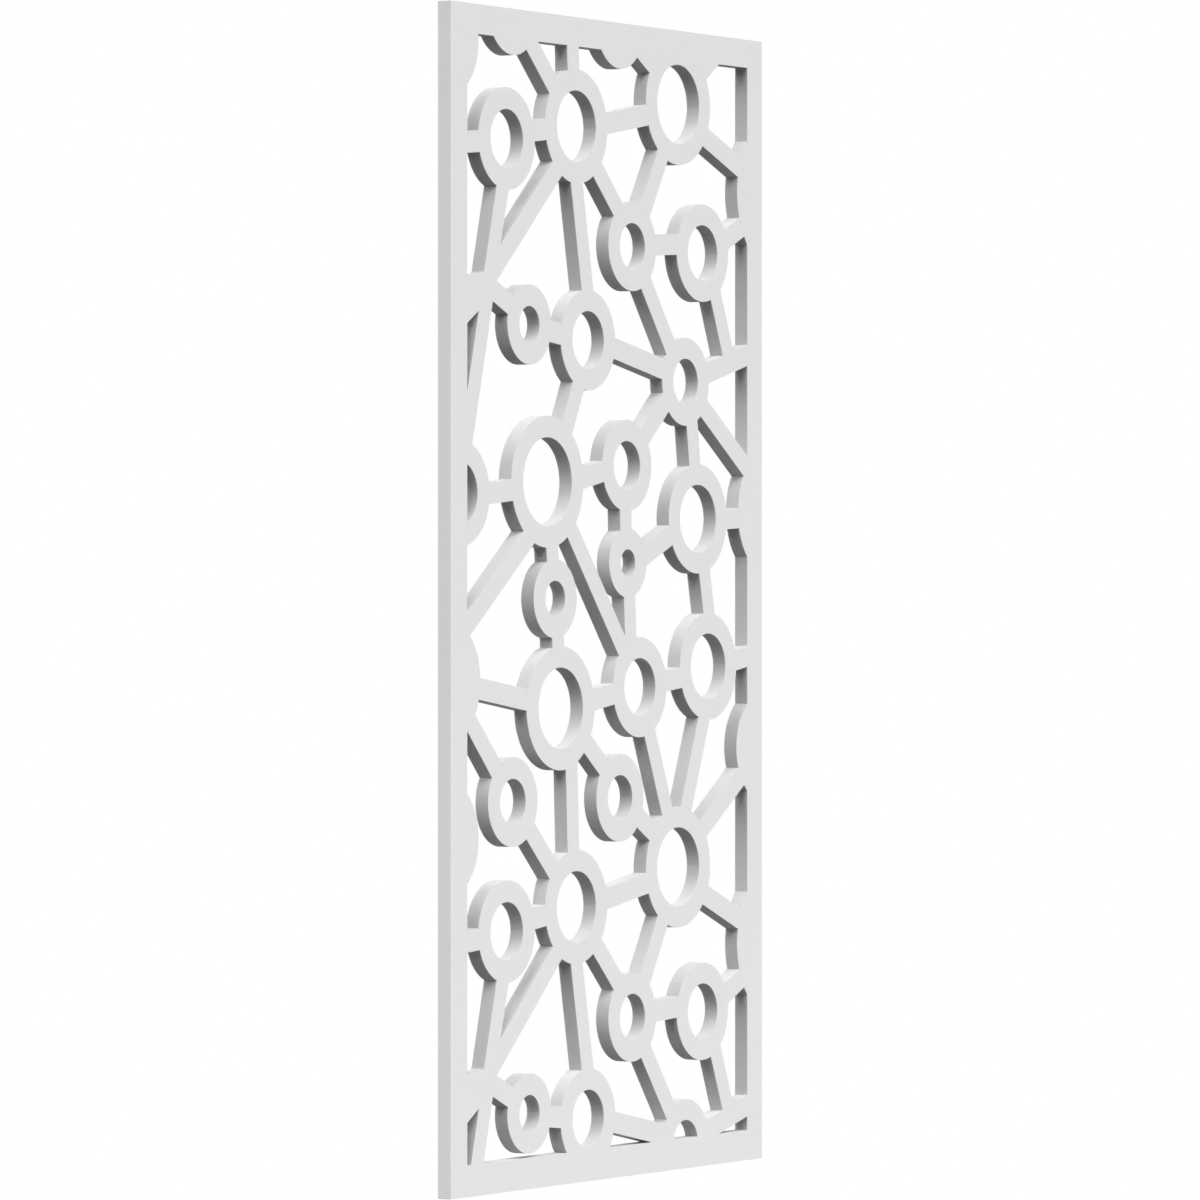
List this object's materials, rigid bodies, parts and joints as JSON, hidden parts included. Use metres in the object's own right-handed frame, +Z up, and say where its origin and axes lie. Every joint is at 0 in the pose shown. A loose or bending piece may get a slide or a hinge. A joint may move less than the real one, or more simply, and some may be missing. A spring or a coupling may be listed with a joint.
{
  "type": "hanging room divider panel",
  "caption": "Rectangular fretwork divider panel: a border of stiles and rails filled with round rings joined by straight bars, hung from threaded inserts in its top edge.",
  "frame": {"origin": "middle of the panel's top edge, halfway between the two hanging inserts and halfway through the thickness", "axes": "+X runs across the panel, the front face looks towards -Y, +Z is up, so the panel hangs below the origin"},
  "size_m": [0.9, 0.023, 1.8],
  "materials": {
    "painted_wood": "matt pale grey-white paint",
    "beech": "bare",
    "brass": "turned"
  },
  "bodies": {
    "root": {"left_stile": "painted_wood", "right_stile": "painted_wood", "top_rail": "painted_wood", "bottom_rail": "painted_wood", "ring_a": "painted_wood", "ring_b": "painted_wood", "ring_c": "painted_wood", "ring_d": "painted_wood", "ring_e": "painted_wood", "ring_f": "painted_wood", "ring_g": "painted_wood", "ring_h": "painted_wood", "ring_i": "painted_wood", "ring_j": "painted_wood", "ring_k": "painted_wood", "ring_l": "painted_wood", "ring_m": "painted_wood", "ring_n": "painted_wood", "ring_o": "painted_wood", "ring_p": "painted_wood", "ring_q": "painted_wood", "ring_r": "painted_wood", "edge_ring_s": "painted_wood", "edge_disc_t": "painted_wood", "edge_disc_u": "painted_wood", "edge_disc_x": "painted_wood", "edge_disc_y": "painted_wood", "edge_disc_z": "painted_wood", "hub_v": "painted_wood", "bars_from_a": "painted_wood", "bars_from_b": "painted_wood", "bars_from_c": "painted_wood", "bars_from_d": "painted_wood", "bars_from_e": "painted_wood", "bars_from_f": "painted_wood", "bars_from_g": "painted_wood", "bars_from_h": "painted_wood", "bars_from_i": "painted_wood", "bars_from_j": "painted_wood", "bars_from_k": "painted_wood", "bars_from_l": "painted_wood", "bars_from_m": "painted_wood", "bars_from_n": "painted_wood", "bars_from_o": "painted_wood", "bars_from_p": "painted_wood", "bars_from_q": "painted_wood", "bars_from_r": "painted_wood", "bars_from_v": "painted_wood", "bars_from_x": "painted_wood", "end_dowels": "beech", "through_dowels": "beech", "border_dowels": "beech", "corner_dowels": "beech", "hanging_inserts": "brass"}
  },
  "joints": []
}
